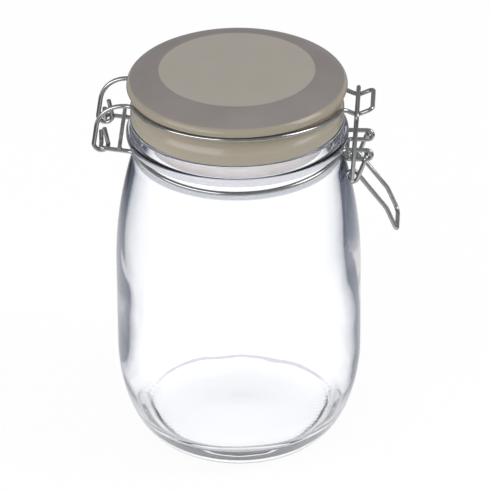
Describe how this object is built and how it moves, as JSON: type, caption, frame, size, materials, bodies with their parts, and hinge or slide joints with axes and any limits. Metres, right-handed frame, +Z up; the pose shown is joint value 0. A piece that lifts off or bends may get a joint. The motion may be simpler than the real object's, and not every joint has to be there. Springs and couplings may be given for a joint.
{
  "type": "food canister",
  "caption": "Clip-top glass food canister with a glazed ceramic lid, silicone seal and a hinged steel wire bail with a toggle latch.",
  "frame": {"origin": "middle of the jar's flat base", "axes": "+Z up along the jar's axis, +X from the hinge to the latch, +Y to the back"},
  "size_m": [0.1362, 0.11, 0.1826],
  "materials": {
    "clear_glass": "clear pressed glass, fire polished",
    "glazed_lid": "cream satin glaze with a taupe band round the top",
    "silicone": "pale translucent silicone",
    "steel_wire": "bright drawn wire"
  },
  "bodies": {
    "jar": {"glass_jar": "clear_glass", "neck_wire": "steel_wire", "neck_tie_rod": "steel_wire"},
    "lid": {"ceramic_lid": "glazed_lid", "lid_gasket": "silicone", "lid_wire": "steel_wire"},
    "lever": {"latch_lever": "steel_wire"},
    "link": {"latch_link": "steel_wire"}
  },
  "joints": [
    {"name": "lid_hinge", "type": "hinge", "parent": "jar", "child": "lid", "pos_m": [-0.0597, 0, 0.1503], "axis": [0, -1, 0], "range_deg": [0, 105]},
    {"name": "lever_pivot", "type": "hinge", "parent": "jar", "child": "lever", "pos_m": [0.0575, 0, 0.1457], "axis": [0, -1, 0], "range_deg": [0, 100], "deforming": ["latch_link"]},
    {"name": "link_pivot", "type": "hinge", "parent": "lever", "child": "link", "pos_m": [0.05139, 0, 0.1354], "axis": [0, -1, 0], "range_deg": [-125, 0]}
  ],
  "couplings": [
    {"joint": "link_pivot", "follows": "lever_pivot", "ratio": -1.25}
  ]
}
